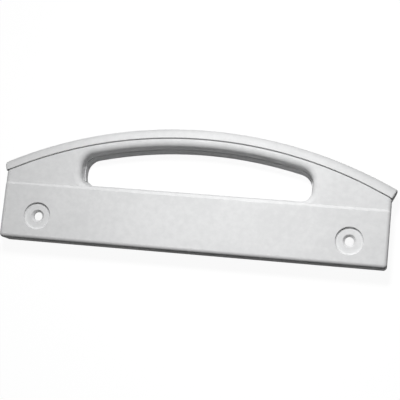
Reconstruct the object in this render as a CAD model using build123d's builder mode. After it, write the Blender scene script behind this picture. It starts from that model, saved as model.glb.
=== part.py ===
from build123d import *
from math import asin, cos, degrees, radians, sin, sqrt, tan
import os

# Fridge door handle, lying on its mounting face: +X along it, +Y to the arched grip, +Z out of the front.
# The origin is midway between the two screw holes, on the mounting plane.

# Front outline
overall_length = 310.0
seam_height = 90.0        # bottom edge to the top of the body, at the middle of the arch
seam_end_height = 53.6    # the same at both ends
cover_reach = 9.6         # cover beyond the seam
base_corner_radius = 3.0

# Depth and walls
base_depth = 20.0         # mounting plane to the front of the base
arch_step = 0.8           # how far the face above the crease lies below the base
crease_drop = 10.1        # crease below the ends of the seam
crease_run = 1.9
front_edge_radius = 3.2
face_thickness = 2.4
side_wall = 2.4
inner_wall = 2.2
weld = 0.1                # overlap of features that are moulded together

# Hand hole, measured at the front face before its edge is rounded
ear_width = 60.9          # end of the handle to the end of the hole
hole_sill = 4.6           # crease to the bottom of the hole
hole_band = 4.6           # top of the hole to the seam
lower_corner_share = 0.38    # corner radii as shares of the height of the hole's ends
upper_corner_share = 0.55
hole_draft = 6.7
hole_edge_radius = 5.1

# The hole at the cover's back: how much smaller it is, and its upper corners as a share
back_side_inset = 2.0
back_bottom_inset = 1.9
back_top_inset = 4.3
back_corner_share = 0.72
skirt_ledge = 0.5         # ledge in the hole where the cover's skirt takes over

# Screw seats and the bosses behind them
screw_to_end = 30.0
screw_to_bottom = 19.0
screw_bore = 7.0
countersink_diameter = 10.4
seat_diameter = 21.9
seat_depth = 2.0
seat_floor_radius = 1.6
seat_floor_thickness = 3.2
boss_margin = 0.6         # boss beyond the edge of the seat
boss_wall = 2.6

# Ribs
rib_thickness = 1.6
rib_cells = 10            # cells of the base between the two screws
ear_rib_pitch = 24.0
gusset_depth = 4.0

# Cover
cover_proud = 0.8         # lip above the face of the arch
cover_wall = 2.2
front_round_share = 0.555    # cover's rounded front, as a share of its depth
back_round_share = 0.34
lip_chamfer = 0.4
end_cap_thickness = 2.2
end_edge_radius = 1.6
split_rise = 4.4          # bottom of the hole to the line where the cover's back starts
seam_gap = 0.7
fit_gap = 0.3

# Tongue of the body under the lip
tongue_thickness = 3.0    # at the seam
tongue_reach = 3.2        # beyond the seam

# Snap hooks of the cover, and the body's lugs that they catch on
hook_count = 4
hook_inset = 40.4         # end of the hole to the outermost hook
hook_width = 9.0
hook_thickness = 1.6
hook_nose = 1.2
hook_nose_height = 1.8
hook_headroom = 2.3       # hook to the tongue
lug_overhang = 1.9
lug_height = 1.8
lug_setback = 0.5         # lug above the cut end of the grip's wall
snap_gap = 0.35

# Outline worked out from the sizes above
half_length = overall_length / 2
bottom_y = -screw_to_bottom
seam_top_y = bottom_y + seam_height
seam_end_y = bottom_y + seam_end_height
seam_rise = seam_height - seam_end_height
seam_radius = (half_length**2 + seam_rise**2) / (2 * seam_rise)
arch_centre_y = seam_top_y - seam_radius
arch_half_angle = degrees(asin(half_length / seam_radius))
arch_axis = Axis((0, arch_centre_y, 0), (0, 0, -1))
crease_y = seam_end_y - crease_drop
hole_width = overall_length - 2 * ear_width
hole_bottom_y = crease_y + crease_run + hole_sill
hole_end_y = arch_centre_y + sqrt((seam_radius - hole_band) ** 2 - (hole_width / 2) ** 2)
split_y = hole_bottom_y + split_rise
screw_spacing = overall_length - 2 * screw_to_end
boss_diameter = seat_diameter + 2 * boss_margin
rib_length = split_y - bottom_y - inner_wall / 2 - side_wall / 2

# Rounded nose of the cover, about the arch's centre
arch_face_z = base_depth - arch_step
cover_front_z = arch_face_z + cover_proud
lip_radius = seam_radius + seam_gap
cover_radius = seam_radius + cover_reach
outer_front_radius = front_round_share * cover_front_z
outer_back_radius = back_round_share * cover_front_z
nose_radius = cover_radius - outer_front_radius
nose_z = cover_front_z - sqrt(outer_front_radius**2 - (lip_radius - nose_radius) ** 2)


def nose_height(radius, inset):
    """Height of the cover's rounded front at a radius, moved in by a wall or a gap."""
    return nose_z + sqrt((outer_front_radius - inset) ** 2 - (radius - nose_radius) ** 2)


# Heights
pocket_z = arch_face_z - face_thickness
seat_floor_z = base_depth - seat_depth
lip_bottom_z = nose_height(lip_radius, cover_wall)
tongue_top_z = nose_height(seam_radius, cover_wall + fit_gap)
tongue_bottom_z = tongue_top_z - tongue_thickness
hook_top_z = tongue_bottom_z - hook_headroom
lug_top_z = hook_top_z - hook_nose_height - snap_gap
lug_base_z = lug_top_z - lug_height
skirt_depth = lug_base_z - lug_setback - fit_gap

# Radii about the arch's centre
cover_inner_radius = cover_radius - cover_wall
back_edge_radius = cover_radius - outer_back_radius
relief_radius = seam_radius - side_wall
flange_radius = relief_radius + fit_gap
tongue_radius = seam_radius + tongue_reach
tongue_middle = seam_radius + tongue_reach / 2
draft_slope = tan(radians(hole_draft))
wall_radius = seam_radius - hole_band - (arch_face_z - lug_base_z) * draft_slope
lug_root = wall_radius + inner_wall / 2
lug_tip = wall_radius + inner_wall + lug_overhang
hook_radius = lug_tip + snap_gap
gusset_root = lug_root + weld

# Angles about the arch's centre
cap_angle = degrees(end_cap_thickness / cover_radius)
tongue_half_angle = arch_half_angle - degrees((end_cap_thickness + fit_gap) / seam_radius)
end_slope = cover_radius * tan(radians(arch_half_angle))
hook_half_angle = degrees(asin((hole_width / 2 - hook_inset) / seam_radius))
gusset_half_angle = hook_half_angle * hook_count / (hook_count - 1)

# Fillets limited by their walls
edge_setback = tan(radians(45 - hole_draft / 2))
hole_edge_fillet = min(hole_edge_radius, 0.98 * min(hole_band, hole_sill) / edge_setback)
seat_floor_fillet = min(seat_floor_radius, 0.95 * seat_depth)
end_edge_fillet = min(end_edge_radius, 0.75 * end_cap_thickness)


def arch_plane(height):
    """The level plane with its origin at the arch's centre; X runs outwards through the middle."""
    return Plane(origin=(0, arch_centre_y, height), x_dir=(0, 1, 0), z_dir=(0, 0, 1))


def section_plane(turn):
    """The upright plane through the arch's centre; X runs outwards, turned from +Y, and Y runs up."""
    out = (sin(radians(turn)), cos(radians(turn)), 0)
    along = (cos(radians(turn)), -sin(radians(turn)), 0)
    return Plane(origin=(0, arch_centre_y, 0), x_dir=out, z_dir=along)


def along_grip(radius, count, half_angle):
    """Places spread evenly along the grip, for a sketch on an arch_plane."""
    return PolarLocations(radius, count, -half_angle, 2 * half_angle, endpoint=True)


def hole_outline(height, side_inset, bottom_inset, top_inset, upper_share):
    """The hand hole, each side moved in: a straight bottom, short ends and a top along the arch."""
    side = hole_width / 2 - side_inset
    low = hole_bottom_y + bottom_inset
    radius = seam_radius - hole_band - top_inset
    high = arch_centre_y + sqrt(radius**2 - side**2)
    with BuildSketch(Plane.XY.offset(height)) as outline:
        with BuildLine():
            Polyline((-side, high), (-side, low), (side, low), (side, high))
            ThreePointArc((side, high), (0, arch_centre_y + radius), (-side, high))
        make_face()
        fillet(outline.vertices().group_by(Axis.Y)[0], lower_corner_share * (high - low))
        fillet(outline.vertices().sort_by(Axis.Y)[-2:], upper_share * (high - low))
    return outline.sketch


def front_hole(height, ledge=0):
    """The hand hole as moulded in the body, narrowing by its draft towards the back."""
    inset = (arch_face_z - height) * draft_slope + ledge
    return hole_outline(height, inset, inset, inset, upper_corner_share)


back_hole = hole_outline(0, back_side_inset, back_bottom_inset, back_top_inset, back_corner_share)

# Outside of the cover's skirt round the hand hole, at the back and where it meets the body
with BuildSketch() as skirt_back:
    add(back_hole)
    offset(amount=inner_wall)
with BuildSketch(Plane.XY.offset(skirt_depth)) as skirt_front:
    add(front_hole(skirt_depth, skirt_ledge))
    offset(amount=inner_wall)

# Front outline of the body
with BuildSketch() as body_outline:
    with BuildLine():
        Polyline(
            (-half_length, seam_end_y),
            (-half_length, bottom_y),
            (half_length, bottom_y),
            (half_length, seam_end_y),
        )
        ThreePointArc((half_length, seam_end_y), (0, seam_top_y), (-half_length, seam_end_y))
    make_face()
    fillet(body_outline.vertices().group_by(Axis.Y)[0], base_corner_radius)

# Inside of the body's outer wall
with BuildSketch() as pocket_outline:
    add(body_outline.sketch)
    offset(amount=-side_wall)

# Handle body
with BuildPart() as handle_body:
    # Solid front, stepped down above the crease
    add(body_outline.sketch)
    extrude(amount=base_depth)
    with BuildSketch(Plane.YZ):
        with BuildLine():
            Polyline(
                (crease_y, base_depth),
                (crease_y + crease_run, arch_face_z),
                (seam_top_y + 1, arch_face_z),
                (seam_top_y + 1, base_depth + 1),
                (crease_y, base_depth + 1),
                close=True,
            )
        make_face()
    extrude(amount=half_length + 1, both=True, mode=Mode.SUBTRACT)

    # Rounded front edges along the bottom and both sides
    front_edges = handle_body.edges().filter_by(lambda edge: edge.center().Z > arch_face_z - 0.01)
    outer_edges = front_edges.filter_by(
        lambda edge: edge.center().Y < bottom_y + 1 or abs(edge.center().X) > half_length - base_corner_radius
    )
    fillet(outer_edges, front_edge_radius)

    # Hollow back, open towards the mounting plane
    extrude(pocket_outline.sketch, amount=pocket_z, mode=Mode.SUBTRACT)

    # Wall round the hand hole, solid until the hole is cut
    with BuildSketch() as collar_outline:
        add(front_hole(0))
        offset(amount=inner_wall)
    extrude(amount=pocket_z + weld, taper=-hole_draft)

    # Web that closes the top of the base behind the ears
    with BuildSketch():
        with Locations((0, split_y)):
            Rectangle(overall_length - side_wall, inner_wall, align=(Align.CENTER, Align.MAX))
        with Locations((0, arch_centre_y)):
            Circle(relief_radius, mode=Mode.INTERSECT)
    extrude(amount=pocket_z + weld)

    # Cross ribs and one long rib inside the base, down to the mounting plane
    with BuildSketch():
        with Locations((0, bottom_y + side_wall / 2)):
            with GridLocations(screw_spacing / rib_cells, 1, rib_cells + 1, 1):
                Rectangle(rib_thickness, rib_length, align=(Align.CENTER, Align.MIN))
        Rectangle(overall_length - side_wall, rib_thickness)
    extrude(amount=pocket_z + weld)

    # Ribs inside the ears, above the web
    with BuildSketch(Plane.XY.offset(cover_wall + fit_gap)):
        with Locations((0, split_y - inner_wall / 2)):
            with GridLocations(overall_length - ear_width, 1, 2, 1):
                with GridLocations(ear_rib_pitch, 1, 2, 1):
                    Rectangle(rib_thickness, seam_height, align=(Align.CENTER, Align.MIN))
        with Locations((0, arch_centre_y)):
            Circle(relief_radius, mode=Mode.INTERSECT)
    extrude(amount=pocket_z + weld - cover_wall - fit_gap)

    # Tubular bosses behind the screw seats
    with BuildSketch():
        with GridLocations(screw_spacing, 1, 2, 1):
            Circle(boss_diameter / 2)
    extrude(amount=pocket_z + weld)
    with BuildSketch():
        with GridLocations(screw_spacing, 1, 2, 1):
            Circle(boss_diameter / 2 - boss_wall)
    extrude(amount=seat_floor_z - seat_floor_thickness, mode=Mode.SUBTRACT)

    # Round screw seats with a dished edge, and their countersunk holes
    with BuildSketch(Plane.XY.offset(seat_floor_z)):
        with GridLocations(screw_spacing, 1, 2, 1):
            Circle(seat_diameter / 2)
    extrude(amount=seat_depth + 1, mode=Mode.SUBTRACT)
    seat_edges = handle_body.edges().filter_by(GeomType.CIRCLE).filter_by_position(
        Axis.Z, seat_floor_z - weld / 2, seat_floor_z + weld / 2
    )
    fillet(seat_edges.filter_by(lambda edge: edge.radius > countersink_diameter / 2), seat_floor_fillet)
    with Locations((-screw_spacing / 2, 0, seat_floor_z), (screw_spacing / 2, 0, seat_floor_z)):
        CounterSinkHole(screw_bore / 2, countersink_diameter / 2, depth=seat_floor_thickness + 1)

    # Room behind the seam for the cover
    with BuildSketch(arch_plane(-1)):
        Circle(cover_radius + 1)
        Circle(relief_radius, mode=Mode.SUBTRACT)
    extrude(amount=tongue_bottom_z + 1, mode=Mode.SUBTRACT)

    # Tongue that lies under the cover's lip
    with BuildSketch(section_plane(-tongue_half_angle)):
        with BuildLine():
            tongue_arc = ThreePointArc(
                (seam_radius, tongue_top_z),
                (tongue_middle, nose_height(tongue_middle, cover_wall + fit_gap)),
                (tongue_radius, nose_height(tongue_radius, cover_wall + fit_gap)),
            )
            Polyline(
                tongue_arc @ 1,
                (tongue_radius, tongue_bottom_z),
                (relief_radius, tongue_bottom_z),
                (relief_radius, tongue_top_z),
                tongue_arc @ 0,
            )
        make_face()
    revolve(axis=arch_axis, revolution_arc=2 * tongue_half_angle)

    # Gussets from the grip's wall to the tongue
    with BuildSketch(arch_plane(tongue_bottom_z - gusset_depth)):
        with along_grip(gusset_root, hook_count + 1, gusset_half_angle):
            Rectangle(tongue_radius - fit_gap - gusset_root, rib_thickness, align=(Align.MIN, Align.CENTER))
    extrude(amount=gusset_depth + weld)

    # Lugs that the snap hooks catch on
    with BuildSketch(arch_plane(lug_base_z)):
        with along_grip(lug_root, hook_count, hook_half_angle):
            Rectangle(lug_tip - lug_root, hook_width, align=(Align.MIN, Align.CENTER))
    extrude(amount=lug_height)

    # Hand hole and its rounded front edge
    extrude(front_hole(0), amount=arch_face_z, taper=-hole_draft, mode=Mode.SUBTRACT)
    level_faces = handle_body.faces().filter_by(Axis.Z)
    arch_faces = level_faces.filter_by(lambda face: abs(face.center().Z - arch_face_z) < weld)
    fillet(arch_faces.sort_by(SortBy.AREA)[-1].inner_wires()[0].edges(), hole_edge_fillet)

    # Wall cut back where the cover's skirt takes over
    with BuildSketch():
        add(collar_outline.sketch)
        offset(amount=inner_wall)
        with Locations((0, split_y)):
            Rectangle(overall_length, overall_length, align=(Align.CENTER, Align.MAX), mode=Mode.SUBTRACT)
    extrude(amount=skirt_depth + fit_gap, mode=Mode.SUBTRACT)

# Arch cover
with BuildPart() as arch_cover:
    # Back of the arch and ears
    with BuildSketch(arch_plane(0)):
        with BuildLine():
            Polyline((0, 0), (cover_radius, end_slope), (cover_radius, -end_slope), close=True)
        make_face()
        Circle(back_edge_radius, mode=Mode.INTERSECT)
        with Locations((split_y + fit_gap - arch_centre_y, 0)):
            Rectangle(cover_radius, 2 * cover_radius, align=(Align.MIN, Align.CENTER), mode=Mode.INTERSECT)
    extrude(amount=cover_wall)

    # Skirt that carries on the hand hole's wall
    loft([skirt_back.sketch, skirt_front.sketch], ruled=True)
    loft([back_hole, front_hole(skirt_depth, skirt_ledge)], ruled=True, mode=Mode.SUBTRACT)
    with BuildSketch():
        with Locations((0, split_y + fit_gap)):
            Rectangle(overall_length, overall_length, align=(Align.CENTER, Align.MAX))
    extrude(amount=skirt_depth, mode=Mode.SUBTRACT)

    # Lip, rounded outer wall and back flange, turned about the arch's centre
    with BuildSketch(section_plane(-arch_half_angle)) as cover_section:
        with BuildLine():
            Line((flange_radius, 0), (back_edge_radius, 0))
            TangentArc((back_edge_radius, 0), (cover_radius, outer_back_radius), tangent=(1, 0))
            Line((cover_radius, outer_back_radius), (cover_radius, nose_z))
            TangentArc((cover_radius, nose_z), (lip_radius, cover_front_z), tangent=(0, 1))
            Line((lip_radius, cover_front_z), (lip_radius, lip_bottom_z))
            TangentArc((cover_inner_radius, nose_z), (lip_radius, lip_bottom_z), tangent=(0, 1))
            inner_back = (cover_inner_radius, outer_back_radius)
            Line((cover_inner_radius, nose_z), inner_back)
            TangentArc((back_edge_radius, cover_wall), inner_back, tangent=(1, 0))
            Polyline((back_edge_radius, cover_wall), (flange_radius, cover_wall), (flange_radius, 0))
        make_face()
        chamfer(cover_section.vertices().group_by(Axis.Y)[-1], lip_chamfer)
    revolve(axis=arch_axis, revolution_arc=2 * arch_half_angle)

    # End caps, their edges rounded
    for turn in (-arch_half_angle, arch_half_angle - cap_angle):
        with BuildSketch(section_plane(turn)):
            with BuildLine():
                Line((flange_radius, 0), (back_edge_radius, 0))
                TangentArc((back_edge_radius, 0), (cover_radius, outer_back_radius), tangent=(1, 0))
                Line((cover_radius, outer_back_radius), (cover_radius, nose_z))
                TangentArc((cover_radius, nose_z), (lip_radius, cover_front_z), tangent=(0, 1))
                Polyline(
                    (lip_radius, cover_front_z),
                    (lip_radius, tongue_bottom_z - fit_gap),
                    (flange_radius, tongue_bottom_z - fit_gap),
                    (flange_radius, 0),
                )
            make_face()
        revolve(axis=arch_axis, revolution_arc=cap_angle)
    end_faces = arch_cover.faces().filter_by(GeomType.PLANE).sort_by(Axis.X)
    for end_face in (end_faces[0], end_faces[-1]):
        fillet(end_face.outer_wire().edges().filter_by(GeomType.CIRCLE), end_edge_fillet)

    # Snap hooks
    with BuildSketch(arch_plane(0)):
        with along_grip(hook_radius, hook_count, hook_half_angle):
            Rectangle(hook_thickness, hook_width, align=(Align.MIN, Align.CENTER))
    extrude(amount=hook_top_z)
    with BuildSketch(arch_plane(hook_top_z - hook_nose_height)):
        with along_grip(hook_radius - hook_nose, hook_count, hook_half_angle):
            Rectangle(hook_nose + hook_thickness, hook_width, align=(Align.MIN, Align.CENTER))
    extrude(amount=hook_nose_height)

handle_body.part.label = "handle_body"
arch_cover.part.label = "arch_cover"

os.makedirs("parts", exist_ok=True)
export_step(handle_body.part, "parts/handle_body.step")
export_step(arch_cover.part, "parts/arch_cover.step")
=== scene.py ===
import math

import bpy
from mathutils import Matrix, Vector


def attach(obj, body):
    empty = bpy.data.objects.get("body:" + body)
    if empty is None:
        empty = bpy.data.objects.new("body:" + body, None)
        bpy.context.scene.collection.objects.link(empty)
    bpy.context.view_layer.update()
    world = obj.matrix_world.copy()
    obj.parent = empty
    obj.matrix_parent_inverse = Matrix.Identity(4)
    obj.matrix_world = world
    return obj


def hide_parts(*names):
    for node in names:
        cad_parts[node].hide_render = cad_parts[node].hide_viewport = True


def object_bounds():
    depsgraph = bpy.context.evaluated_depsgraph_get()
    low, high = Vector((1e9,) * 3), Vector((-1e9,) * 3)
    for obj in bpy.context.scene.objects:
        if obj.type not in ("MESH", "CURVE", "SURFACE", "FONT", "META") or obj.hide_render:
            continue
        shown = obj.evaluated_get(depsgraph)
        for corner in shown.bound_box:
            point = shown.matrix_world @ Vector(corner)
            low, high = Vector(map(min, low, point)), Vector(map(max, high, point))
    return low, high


bl_info = {
    "name": "Fridge Door Handle",
    "version": (1, 0, 0),
    "blender": (4, 5, 0),
    "location": "View3D > Sidebar > Handle",
    "description": "Dresses a moulded fridge door handle and its arch cover, and sets its stage",
    "category": "Object",
}

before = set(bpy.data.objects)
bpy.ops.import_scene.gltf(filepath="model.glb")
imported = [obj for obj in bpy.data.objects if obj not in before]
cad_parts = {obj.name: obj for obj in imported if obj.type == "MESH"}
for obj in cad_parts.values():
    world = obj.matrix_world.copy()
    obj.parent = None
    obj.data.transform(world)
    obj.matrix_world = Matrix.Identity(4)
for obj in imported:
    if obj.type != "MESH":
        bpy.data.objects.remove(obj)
CAD_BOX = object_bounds()

MM = 0.001

# The seam between the body and the cover is an arc: its radius, and its middle on the Y axis
SEAM_RADIUS = 348.214 * MM
ARCH_CENTRE_Y = -277.214 * MM

# Points above this height belong to the front skin, the others to the walls behind it
SKIN_HEIGHT = 16.9 * MM

# Reshaped rim of the hand hole. Each pair gives where a change sets in and where it is whole,
# or where it begins to fade and where it is gone.
SKIN_DROP_Y = (26.4 * MM, 30.7 * MM)
WALL_DROP_Y = (24.0 * MM, 28.9 * MM)
DROP_FADE_Y = (33.5 * MM, 45.5 * MM)
SKIN_BAND_DEPTH = (0.0, 0.05 * MM)          # depths are measured from the seam into the hole
WALL_BAND_DEPTH = (0.0, 2.4 * MM)
BAND_FADE_DEPTH = (6.0 * MM, 22.0 * MM)
BAND_HEIGHT = (0.0, 14.7 * MM)              # none at the back of the handle
END_FADE_X = (94.0 * MM, 152.0 * MM)        # both changes, towards the ends of the handle
NORMAL_STEP = 0.02 * MM                     # reach of the comparison that turns a normal

# Sizes of the surface's patterns
GRAIN_SIZE = 0.45 * MM
DRIFT_SIZE = 34 * MM
EDGE_WIDTH = 0.5 * MM
STREAK_STRETCH = (0.22, 2.6, 1.4)           # streaks are long along the handle
MOTTLES_IN_A_CLOUD = 7.0
DUST_IN_A_PIT = 1.9

# How much the patterns change the colour and the roughness
# The next two paint a highlight: edges get a paler colour where the surface turns over them
PAINTED_EDGE_HIGHLIGHT = (0.91, 0.912, 0.914, 1.0)
EDGE_HIGHLIGHT_SHARE = 0.6
CLOUD_ROUGHNESS = (-0.04, 0.05)
FLECK_ROUGHNESS = 0.07
EDGE_ROUGHNESS = -0.12
PIT_STRENGTH = 0.55

WHITE = (1.0, 1.0, 1.0, 1.0)
SHADED_FLOOR = (0.09, 0.09, 0.09, 1.0)      # the part of the seen floor that takes shadow
LIGHTING_FLOOR = (0.02, 0.02, 0.02, 1.0)    # what the floor throws back at the handle
FLOOR_GLOW = 0.94
FLOOR_GAP = 0.05 * MM


def length_setting(name, description, default):
    """A length of the add-on's settings, in metres."""
    return bpy.props.FloatProperty(
        name=name, description=description, subtype="DISTANCE", unit="LENGTH", default=default
    )


def angle_setting(name, description, degrees):
    """An angle of the add-on's settings."""
    return bpy.props.FloatProperty(
        name=name,
        description=description,
        subtype="ANGLE",
        unit="ROTATION",
        default=math.radians(degrees),
    )


def point_setting(name, description, default):
    """A place of the add-on's settings, in metres."""
    return bpy.props.FloatVectorProperty(
        name=name,
        description=description,
        subtype="TRANSLATION",
        unit="LENGTH",
        size=3,
        default=default,
    )


def colour_setting(name, description, default):
    """A colour of the add-on's settings."""
    return bpy.props.FloatVectorProperty(
        name=name,
        description=description,
        subtype="COLOR",
        size=3,
        min=0.0,
        max=1.0,
        default=default,
    )


class HandleShape(bpy.types.PropertyGroup):
    """The rim of the hand hole."""

    edge_drop: length_setting(
        "Edge drop", "How far the hand hole's lower edge comes down towards the crease", 3.2 * MM
    )
    grip_band: length_setting(
        "Grip band", "How much wider the flat band under the seam becomes", 1.2 * MM
    )


class HandleFinish(bpy.types.PropertyGroup):
    """Colours and surface of the moulded plastic."""

    body_colour: colour_setting(
        "Body colour", "Colour of the moulded body", (0.842, 0.845, 0.848)
    )
    body_shade: colour_setting(
        "Body shade",
        "Slightly deeper colour that drifts through the body's plastic",
        (0.772, 0.776, 0.780),
    )
    # The cover's colour and shade are a little darker than the body's: painted shade that tones
    # down the strip, which faces the lamp more than the body does
    cover_colour_painted_darker: colour_setting(
        "Cover colour", "Colour of the arch cover", (0.812, 0.815, 0.818)
    )
    cover_shade: colour_setting(
        "Cover shade",
        "Slightly deeper colour that drifts through the cover's plastic",
        (0.745, 0.749, 0.753),
    )
    grain_size: length_setting(
        "Grain size", "Width of one pit of the satin mould texture", GRAIN_SIZE
    )
    grain_depth: length_setting(
        "Grain depth", "Depth of the satin mould texture", 0.012 * MM
    )
    drift_size: length_setting(
        "Drift size", "Width of the soft clouds of colour and gloss", DRIFT_SIZE
    )
    # The edge width sets how far both the painted edge highlight and the polish of an edge reach
    edge_width: length_setting(
        "Edge width", "How far the polish of an edge reaches", EDGE_WIDTH
    )
    roughness: bpy.props.FloatProperty(
        name="Roughness",
        description="Roughness of the satin plastic",
        subtype="FACTOR",
        min=0.0,
        max=1.0,
        default=0.6,
    )


class HandleStage(bpy.types.PropertyGroup):
    """Camera, floor and light."""

    camera_place: point_setting(
        "Camera place", "Where the camera stands", (0.15280, -0.09672, 0.86099)
    )
    camera_target: point_setting(
        "Camera target", "Point in the middle of the picture", (0.00464, 0.02417, 0.010)
    )
    camera_roll: angle_setting(
        "Camera roll", "Turn of the camera about its line of sight", -5.731
    )
    lens: bpy.props.FloatProperty(
        name="Lens", description="Focal length of the camera", unit="CAMERA", default=98.525
    )
    floor_width: length_setting("Floor width", "Side of the square floor", 6.0)
    lamp_place: point_setting(
        "Lamp place", "Middle of the soft lamp above the arch", (0.00, 0.42, 0.695)
    )
    lamp_width: length_setting("Lamp width", "Side of the soft lamp", 0.15)
    lamp_target: point_setting(
        "Lamp target", "Point that the soft lamp faces", (0.05, -0.03, 0.01)
    )
    lamp_spread: angle_setting("Lamp spread", "How wide the soft lamp's beam opens", 78)
    lamp_power: bpy.props.FloatProperty(
        name="Lamp power",
        description="Power of the soft lamp",
        subtype="POWER",
        unit="POWER",
        default=1.16,
    )
    room_light: bpy.props.FloatProperty(
        name="Room light",
        description="Strength of the even light from all round",
        min=0.0,
        default=0.06,
    )


def add_object(name, data):
    """Puts a mesh, camera or light in the scene."""
    thing = bpy.data.objects.new(name, data)
    bpy.context.scene.collection.objects.link(thing)
    return thing


def ramp(value, low, high):
    """0 below low, 1 above high, straight between them."""
    return min(max((value - low) / (high - low), 0.0), 1.0)


def soft_ramp(value, low, high):
    """The same, with a soft start and a soft end."""
    share = ramp(value, low, high)
    return share * share * (3 - 2 * share)


def drop_share(point):
    """All of the drop on the hole's lower wall, none at the crease, fading out up the sides."""
    below = ramp(point.y, *(SKIN_DROP_Y if point.z > SKIN_HEIGHT else WALL_DROP_Y))
    return below * (1 - soft_ramp(point.y, *DROP_FADE_Y))


def band_share(point, depth):
    """All of the band at the grip's rounding, fading out down the hole and towards the back."""
    start = ramp(depth, *(SKIN_BAND_DEPTH if point.z > SKIN_HEIGHT else WALL_BAND_DEPTH))
    return start * (1 - soft_ramp(depth, *BAND_FADE_DEPTH)) * ramp(point.z, *BAND_HEIGHT)


def shaped(point, shape):
    """Where a point of the mouldings lies once the hole's rim has its real shape."""
    near_hole = 1 - ramp(abs(point.x), *END_FADE_X)
    arm = Vector((point.x, point.y - ARCH_CENTRE_Y, 0.0))
    inward = shape.grip_band * band_share(point, SEAM_RADIUS - arm.length)
    down = Vector((0.0, shape.edge_drop * drop_share(point), 0.0))
    return point - near_hole * (inward * arm.normalized() + down)


def turned_normal(point, normal, shape):
    """The surface's normal once its point has moved, from how its neighbourhood moves."""
    columns = []
    for axis in range(3):
        way = Vector((0.0, 0.0, 0.0))
        way[axis] = NORMAL_STEP
        stretch = shaped(point + way, shape) - shaped(point - way, shape)
        columns.append(stretch / (2 * NORMAL_STEP))
    return (Matrix(columns).inverted() @ normal).normalized()


def shape_moulding(node_name, piece_name, shape):
    """A copy of a moulding with the hole's rim in its real shape, standing for the moulding."""
    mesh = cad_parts[node_name].data.copy()
    normals = []
    for corner, normal in zip(mesh.loops, mesh.corner_normals):
        point = mesh.vertices[corner.vertex_index].co
        normals.append(turned_normal(point, normal.vector, shape))
    for vertex in mesh.vertices:
        vertex.co = shaped(vertex.co, shape)
    mesh.normals_split_custom_set(normals)
    piece = add_object(piece_name, mesh)
    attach(piece, "root")
    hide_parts(node_name)


def add_sockets(group, inputs, outputs):
    """Gives a node group its named inputs, with their defaults, and its named outputs."""
    for name, kind, default in inputs:
        socket = group.interface.new_socket(name=name, in_out="INPUT", socket_type=kind)
        socket.default_value = default
    for name, kind in outputs:
        group.interface.new_socket(name=name, in_out="OUTPUT", socket_type=kind)


def new_node(tree, kind, label, place, values=None, **settings):
    """Adds a labelled node, sets its properties and then the values of its inputs."""
    node = tree.nodes.new(kind)
    node.label = label
    node.name = label
    node.location = place
    for key, value in settings.items():
        setattr(node, key, value)
    for socket, value in (values or {}).items():
        node.inputs[socket].default_value = value
    return node


def math_node(tree, operation, label, place, values=None):
    """Adds a node that works out one number."""
    return new_node(tree, "ShaderNodeMath", label, place, values, operation=operation)


def noise_node(tree, label, place, values):
    """Adds a cloudy pattern that fills space."""
    return new_node(tree, "ShaderNodeTexNoise", label, place, values, noise_dimensions="3D")


def moulded_grain():
    """Satin texture of the mould: fine rounded pits with a finer dust between them."""
    group = bpy.data.node_groups.get("Moulded Grain")
    if group:
        return group
    group = bpy.data.node_groups.new("Moulded Grain", "ShaderNodeTree")
    add_sockets(
        group,
        [("Grain Size", "NodeSocketFloat", GRAIN_SIZE)],
        [("Height", "NodeSocketFloat"), ("Gloss Fleck", "NodeSocketFloat")],
    )
    enter = new_node(group, "NodeGroupInput", "Inputs", (-900, 0))
    leave = new_node(group, "NodeGroupOutput", "Outputs", (700, 0))
    place = new_node(group, "ShaderNodeTexCoord", "Place", (-900, 250))
    turns = math_node(group, "DIVIDE", "Pits Per Metre", (-700, 0), {0: 1.0})
    pits = new_node(
        group,
        "ShaderNodeTexVoronoi",
        "Pits",
        (-450, 200),
        {"Smoothness": 0.7},
        feature="SMOOTH_F1",
        voronoi_dimensions="3D",
    )
    dust = noise_node(group, "Fine Dust", (-450, -150), {"Detail": 3.0, "Roughness": 0.6})
    finer = math_node(group, "MULTIPLY", "Finer", (-650, -200), {1: DUST_IN_A_PIT})
    deep = math_node(group, "MULTIPLY", "Pit Share", (-150, 150), {1: 0.75})
    both = math_node(group, "MULTIPLY_ADD", "Pits And Dust", (80, 50), {1: 0.45})
    fleck = new_node(
        group,
        "ShaderNodeMapRange",
        "Fleck Range",
        (300, -150),
        {"From Min": 0.35, "From Max": 0.75},
    )
    link = group.links.new
    link(enter.outputs["Grain Size"], turns.inputs[1])
    link(place.outputs["Object"], pits.inputs["Vector"])
    link(place.outputs["Object"], dust.inputs["Vector"])
    link(turns.outputs[0], pits.inputs["Scale"])
    link(turns.outputs[0], finer.inputs[0])
    link(finer.outputs[0], dust.inputs["Scale"])
    link(pits.outputs["Distance"], deep.inputs[0])
    link(dust.outputs["Fac"], both.inputs[0])
    link(deep.outputs[0], both.inputs[2])
    link(both.outputs[0], leave.inputs["Height"])
    link(dust.outputs["Fac"], fleck.inputs["Value"])
    link(fleck.outputs["Result"], leave.inputs["Gloss Fleck"])
    return group


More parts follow.
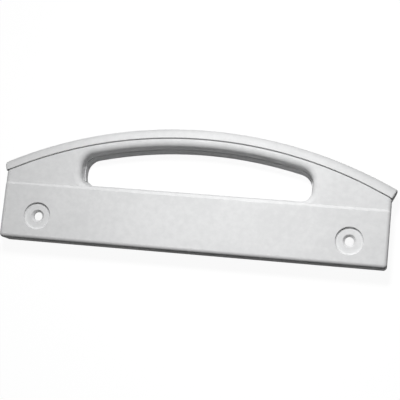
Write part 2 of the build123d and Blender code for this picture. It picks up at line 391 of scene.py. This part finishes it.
def plastic_drift():
    """Changes through the plastic: wide clouds, faint streaks along the melt's flow, mottles."""
    group = bpy.data.node_groups.get("Plastic Drift")
    if group:
        return group
    group = bpy.data.node_groups.new("Plastic Drift", "ShaderNodeTree")
    add_sockets(
        group,
        [
            ("Drift Size", "NodeSocketFloat", DRIFT_SIZE),
            ("Streak Share", "NodeSocketFloat", 0.35),
            ("Mottle Share", "NodeSocketFloat", 0.5),
        ],
        [("Cloud", "NodeSocketFloat")],
    )
    enter = new_node(group, "NodeGroupInput", "Inputs", (-1000, 0))
    leave = new_node(group, "NodeGroupOutput", "Outputs", (600, 0))
    place = new_node(group, "ShaderNodeTexCoord", "Place", (-1000, 300))
    turns = math_node(group, "DIVIDE", "Clouds Per Metre", (-780, 0), {0: 1.0})
    clouds = noise_node(group, "Clouds", (-450, 200), {"Detail": 3.0, "Roughness": 0.5})
    stretch = new_node(
        group,
        "ShaderNodeMapping",
        "Stretch Along The Handle",
        (-750, 350),
        {"Scale": STREAK_STRETCH},
    )
    streaks = noise_node(
        group, "Flow Streaks", (-450, -120), {"Detail": 4.0, "Distortion": 0.4}
    )
    blend = new_node(
        group, "ShaderNodeMix", "Clouds And Streaks", (-150, 60), data_type="FLOAT"
    )
    smaller = math_node(
        group, "MULTIPLY", "Mottles Per Metre", (-650, -420), {1: MOTTLES_IN_A_CLOUD}
    )
    mottle = noise_node(group, "Mottle", (-450, -420), {"Detail": 3.0, "Roughness": 0.6})
    all_three = new_node(group, "ShaderNodeMix", "With Mottle", (20, 60), data_type="FLOAT")
    spread = new_node(
        group,
        "ShaderNodeMapRange",
        "Spread",
        (200, 60),
        {"From Min": 0.34, "From Max": 0.66},
        interpolation_type="SMOOTHSTEP",
    )
    link = group.links.new
    link(enter.outputs["Drift Size"], turns.inputs[1])
    link(place.outputs["Object"], clouds.inputs["Vector"])
    link(place.outputs["Object"], stretch.inputs["Vector"])
    link(stretch.outputs["Vector"], streaks.inputs["Vector"])
    link(turns.outputs[0], clouds.inputs["Scale"])
    link(turns.outputs[0], streaks.inputs["Scale"])
    link(enter.outputs["Streak Share"], blend.inputs["Factor"])
    link(clouds.outputs["Fac"], blend.inputs["A"])
    link(streaks.outputs["Fac"], blend.inputs["B"])
    link(turns.outputs[0], smaller.inputs[0])
    link(smaller.outputs[0], mottle.inputs["Scale"])
    link(place.outputs["Object"], mottle.inputs["Vector"])
    link(enter.outputs["Mottle Share"], all_three.inputs["Factor"])
    link(blend.outputs["Result"], all_three.inputs["A"])
    link(mottle.outputs["Fac"], all_three.inputs["B"])
    link(all_three.outputs["Result"], spread.inputs["Value"])
    link(spread.outputs["Result"], leave.inputs["Cloud"])
    return group


def edge_highlight_and_polish():
    """Where the surface turns over an edge, and the softened normal there. The edge mask paints a
    highlight in the colour and lowers the roughness.
    """
    group = bpy.data.node_groups.get("Edge Highlight And Polish")
    if group:
        return group
    group = bpy.data.node_groups.new("Edge Highlight And Polish", "ShaderNodeTree")
    add_sockets(
        group,
        [("Edge Width", "NodeSocketFloat", EDGE_WIDTH)],
        [("Edge", "NodeSocketFloat"), ("Soft Normal", "NodeSocketVector")],
    )
    enter = new_node(group, "NodeGroupInput", "Inputs", (-800, 0))
    leave = new_node(group, "NodeGroupOutput", "Outputs", (500, 0))
    soft = new_node(group, "ShaderNodeBevel", "Softened Edge", (-550, 0), samples=6)
    plain = new_node(group, "ShaderNodeNewGeometry", "Plain Surface", (-550, 250))
    match = new_node(
        group, "ShaderNodeVectorMath", "Match", (-300, 120), operation="DOT_PRODUCT"
    )
    turned = new_node(
        group,
        "ShaderNodeMapRange",
        "How Far It Turns",
        (-50, 120),
        {"From Min": 0.995, "From Max": 0.80},
    )
    link = group.links.new
    link(enter.outputs["Edge Width"], soft.inputs["Radius"])
    link(soft.outputs["Normal"], match.inputs[0])
    link(plain.outputs["Normal"], match.inputs[1])
    link(match.outputs["Value"], turned.inputs["Value"])
    link(turned.outputs["Result"], leave.inputs["Edge"])
    link(soft.outputs["Normal"], leave.inputs["Soft Normal"])
    return group


def place_group(tree, group, label, place, values):
    """Puts a shared effect in a material, with its settings."""
    node = new_node(tree, "ShaderNodeGroup", label, place)
    node.node_tree = group
    for socket, value in values.items():
        node.inputs[socket].default_value = value
    return node


def emptied_tree(owner):
    """The node tree of a material or a world, with nothing left in it."""
    owner.use_nodes = True
    owner.node_tree.nodes.clear()
    return owner.node_tree


def satin_plastic(name, colour, shade, finish):
    """Satin white plastic straight from the mould."""
    material = bpy.data.materials.get(name) or bpy.data.materials.new(name)
    tree = emptied_tree(material)
    out = new_node(tree, "ShaderNodeOutputMaterial", "Surface", (900, 0))
    plastic = new_node(
        tree,
        "ShaderNodeBsdfPrincipled",
        "Plastic",
        (600, 0),
        {"IOR": 1.46, "Specular IOR Level": 0.15},
    )
    grain = place_group(
        tree, moulded_grain(), "Grain", (-700, -300), {"Grain Size": finish.grain_size}
    )
    drift = place_group(
        tree, plastic_drift(), "Drift", (-700, 200), {"Drift Size": finish.drift_size}
    )
    edges = place_group(
        tree, edge_highlight_and_polish(), "Edges", (-700, -60), {"Edge Width": finish.edge_width}
    )

    body = new_node(
        tree,
        "ShaderNodeMix",
        "Drifting Colour",
        (-300, 300),
        {"A": (*colour, 1.0), "B": (*shade, 1.0)},
        data_type="RGBA",
    )
    # Painted highlight: the colour turns paler over the edges, as if they caught more light
    edge_highlight = new_node(
        tree, "ShaderNodeMix", "Painted Edge Highlight", (0, 300), {"B": PAINTED_EDGE_HIGHLIGHT}, data_type="RGBA"
    )
    edge_highlight_share = math_node(tree, "MULTIPLY", "Edge Tint", (-300, 80), {1: EDGE_HIGHLIGHT_SHARE})

    smooth_end, rough_end = CLOUD_ROUGHNESS
    drift_gloss = new_node(
        tree,
        "ShaderNodeMapRange",
        "Gloss Of Clouds",
        (-300, -60),
        {"To Min": finish.roughness + smooth_end, "To Max": finish.roughness + rough_end},
    )
    fleck_gloss = math_node(
        tree, "MULTIPLY_ADD", "Gloss Of Flecks", (0, -60), {1: FLECK_ROUGHNESS}
    )
    edge_gloss = math_node(
        tree, "MULTIPLY_ADD", "Polished Edges", (250, -60), {1: EDGE_ROUGHNESS}
    )

    bump = new_node(
        tree,
        "ShaderNodeBump",
        "Pitted Surface",
        (250, -320),
        {"Strength": PIT_STRENGTH, "Distance": finish.grain_depth},
    )

    link = tree.links.new
    link(drift.outputs["Cloud"], body.inputs["Factor"])
    link(body.outputs["Result"], edge_highlight.inputs["A"])
    link(edges.outputs["Edge"], edge_highlight_share.inputs[0])
    link(edge_highlight_share.outputs[0], edge_highlight.inputs["Factor"])
    link(edge_highlight.outputs["Result"], plastic.inputs["Base Color"])
    link(drift.outputs["Cloud"], drift_gloss.inputs["Value"])
    link(grain.outputs["Gloss Fleck"], fleck_gloss.inputs[0])
    link(drift_gloss.outputs["Result"], fleck_gloss.inputs[2])
    link(edges.outputs["Edge"], edge_gloss.inputs[0])
    link(fleck_gloss.outputs[0], edge_gloss.inputs[2])
    link(edge_gloss.outputs[0], plastic.inputs["Roughness"])
    link(grain.outputs["Height"], bump.inputs["Height"])
    link(edges.outputs["Soft Normal"], bump.inputs["Normal"])
    link(bump.outputs["Normal"], plastic.inputs["Normal"])
    link(plastic.outputs[0], out.inputs["Surface"])
    return material


def dress(piece_name, material):
    """Gives a moulding one material all over."""
    mesh = bpy.data.objects[piece_name].data
    mesh.materials.clear()
    mesh.materials.append(material)


class HANDLE_OT_shape_hand_hole(bpy.types.Operator):
    """Gives the hand hole's rim its real shape in the body and in its cover"""

    bl_idname = "handle.shape_hand_hole"
    bl_label = "Shape Hand Hole"

    def execute(self, context):
        shape = context.scene.handle_shape
        shape_moulding("handle_body", "moulded_body", shape)
        shape_moulding("arch_cover", "moulded_cover", shape)
        return {"FINISHED"}


class HANDLE_OT_dress_body(bpy.types.Operator):
    """Gives the moulded body its satin plastic"""

    bl_idname = "handle.dress_body"
    bl_label = "Dress Handle Body"

    def execute(self, context):
        finish = context.scene.handle_finish
        plastic = satin_plastic("body_plastic", finish.body_colour, finish.body_shade, finish)
        dress("moulded_body", plastic)
        return {"FINISHED"}


class HANDLE_OT_dress_cover(bpy.types.Operator):
    """Gives the arch cover its satin plastic"""

    bl_idname = "handle.dress_cover"
    bl_label = "Dress Arch Cover"

    def execute(self, context):
        finish = context.scene.handle_finish
        # The cover's colours are painted darker than the body's, as shade on the lamp-facing
        # strip
        plastic = satin_plastic("cover_plastic", finish.cover_colour_painted_darker, finish.cover_shade, finish)
        dress("moulded_cover", plastic)
        return {"FINISHED"}


def aim(place, target, roll):
    """Matrix of a camera or lamp at a place, facing a target, turned about its line of sight."""
    back = (Vector(place) - Vector(target)).normalized()
    level_up = (Vector((0, 1, 0)) - back * back.y).normalized()
    level_side = level_up.cross(back)
    up = level_up * math.cos(roll) + level_side * math.sin(roll)
    side = up.cross(back)
    return Matrix.Translation(Vector(place)) @ Matrix((side, up, back)).transposed().to_4x4()


def camera_or_mirror(tree, place):
    """1 where the camera sees the surface straight, in a reflection or through a clear piece."""
    left, level = place
    rays = new_node(tree, "ShaderNodeLightPath", "Rays", place)
    glossy = math_node(tree, "MAXIMUM", "Or Glossy", (left + 200, level))
    seen = math_node(tree, "MAXIMUM", "Or Through", (left + 400, level))
    tree.links.new(rays.outputs["Is Camera Ray"], glossy.inputs[0])
    tree.links.new(rays.outputs["Is Glossy Ray"], glossy.inputs[1])
    tree.links.new(glossy.outputs[0], seen.inputs[0])
    tree.links.new(rays.outputs["Is Transmission Ray"], seen.inputs[1])
    return seen.outputs[0]


def pale_floor():
    """Plain pale floor: near white to the eye, with the soft shadow kept."""
    material = bpy.data.materials.get("pale_floor") or bpy.data.materials.new("pale_floor")
    tree = emptied_tree(material)
    out = new_node(tree, "ShaderNodeOutputMaterial", "Surface", (700, 0))
    glow = new_node(
        tree,
        "ShaderNodeEmission",
        "White",
        (-200, 100),
        {"Color": WHITE, "Strength": FLOOR_GLOW},
    )
    shaded = new_node(
        tree, "ShaderNodeBsdfDiffuse", "Shaded Part", (-200, -60), {"Color": SHADED_FLOOR}
    )
    seen = new_node(tree, "ShaderNodeAddShader", "Seen Floor", (50, 50))
    real = new_node(
        tree, "ShaderNodeBsdfDiffuse", "Lighting Floor", (50, -200), {"Color": LIGHTING_FLOOR}
    )
    choose = new_node(tree, "ShaderNodeMixShader", "Seen Or Lighting", (400, 0))
    tree.links.new(camera_or_mirror(tree, (-400, 400)), choose.inputs[0])
    tree.links.new(real.outputs[0], choose.inputs[1])
    tree.links.new(glow.outputs[0], seen.inputs[0])
    tree.links.new(shaded.outputs[0], seen.inputs[1])
    tree.links.new(seen.outputs[0], choose.inputs[2])
    tree.links.new(choose.outputs[0], out.inputs["Surface"])
    return material


def set_room_light(scene, strength):
    """Even light from all round, white where it is seen."""
    world = bpy.data.worlds.get("studio_room") or bpy.data.worlds.new("studio_room")
    tree = emptied_tree(world)
    out = new_node(tree, "ShaderNodeOutputWorld", "Room", (700, 0))
    even = new_node(
        tree,
        "ShaderNodeBackground",
        "Even Light",
        (200, 100),
        {"Color": WHITE, "Strength": strength},
    )
    white = new_node(
        tree, "ShaderNodeBackground", "White Wall", (200, -100), {"Color": WHITE, "Strength": 1.0}
    )
    choose = new_node(tree, "ShaderNodeMixShader", "Seen Or Lighting", (450, 0))
    tree.links.new(camera_or_mirror(tree, (-400, 300)), choose.inputs[0])
    tree.links.new(even.outputs[0], choose.inputs[1])
    tree.links.new(white.outputs[0], choose.inputs[2])
    tree.links.new(choose.outputs[0], out.inputs["Surface"])
    scene.world = world


def add_camera(stage):
    """The camera of the picture."""
    data = bpy.data.cameras.new("Camera")
    data.lens = stage.lens
    data.sensor_width = 36.0
    data.clip_start = 0.01
    data.clip_end = 50.0
    camera = add_object("Camera", data)
    camera.matrix_world = aim(stage.camera_place, stage.camera_target, stage.camera_roll)
    return camera


def add_floor(stage):
    """A square floor just under the handle."""
    half = stage.floor_width / 2
    mesh = bpy.data.meshes.new("floor")
    corners = [(-half, -half, 0), (half, -half, 0), (half, half, 0), (-half, half, 0)]
    mesh.from_pydata(corners, [], [(0, 1, 2, 3)])
    mesh.materials.append(pale_floor())
    floor = add_object("floor", mesh)
    floor.location.z = CAD_BOX[0].z - FLOOR_GAP


def add_lamp(stage):
    """The soft lamp above the arch."""
    data = bpy.data.lights.new("soft_lamp", "AREA")
    data.shape = "SQUARE"
    data.size = stage.lamp_width
    data.energy = stage.lamp_power
    data.spread = stage.lamp_spread
    lamp = add_object("soft_lamp", data)
    lamp.matrix_world = aim(stage.lamp_place, stage.lamp_target, 0.0)


class HANDLE_OT_build_stage(bpy.types.Operator):
    """Makes the camera, the pale floor and the soft light"""

    bl_idname = "handle.build_stage"
    bl_label = "Build Stage"

    def execute(self, context):
        scene = context.scene
        stage = scene.handle_stage
        scene.camera = add_camera(stage)
        add_floor(stage)
        add_lamp(stage)
        set_room_light(scene, stage.room_light)
        scene.view_settings.view_transform = "Standard"
        return {"FINISHED"}


class HANDLE_PT_steps(bpy.types.Panel):
    """Steps and settings of the fridge door handle"""

    bl_idname = "HANDLE_PT_steps"
    bl_label = "Fridge Door Handle"
    bl_space_type = "VIEW_3D"
    bl_region_type = "UI"
    bl_category = "Handle"

    def draw(self, context):
        scene = context.scene
        column = self.layout.column(align=True)
        for step in STEPS:
            column.operator(step.bl_idname)
        groups = {
            "Shape": scene.handle_shape,
            "Finish": scene.handle_finish,
            "Stage": scene.handle_stage,
        }
        for heading, settings in groups.items():
            box = self.layout.box()
            box.label(text=heading)
            for key in settings.bl_rna.properties.keys():
                if key not in ("rna_type", "name"):
                    box.prop(settings, key)


STEPS = (
    HANDLE_OT_build_stage,
    HANDLE_OT_shape_hand_hole,
    HANDLE_OT_dress_body,
    HANDLE_OT_dress_cover,
)
CLASSES = (HandleShape, HandleFinish, HandleStage, *STEPS, HANDLE_PT_steps)


def register():
    for each in CLASSES:
        bpy.utils.register_class(each)
    bpy.types.Scene.handle_shape = bpy.props.PointerProperty(type=HandleShape)
    bpy.types.Scene.handle_finish = bpy.props.PointerProperty(type=HandleFinish)
    bpy.types.Scene.handle_stage = bpy.props.PointerProperty(type=HandleStage)


def unregister():
    del bpy.types.Scene.handle_stage
    del bpy.types.Scene.handle_finish
    del bpy.types.Scene.handle_shape
    for each in reversed(CLASSES):
        bpy.utils.unregister_class(each)


def main():
    register()
    bpy.ops.handle.build_stage()
    bpy.ops.handle.shape_hand_hole()
    bpy.ops.handle.dress_body()
    bpy.ops.handle.dress_cover()


if __name__ == "__main__":
    main()
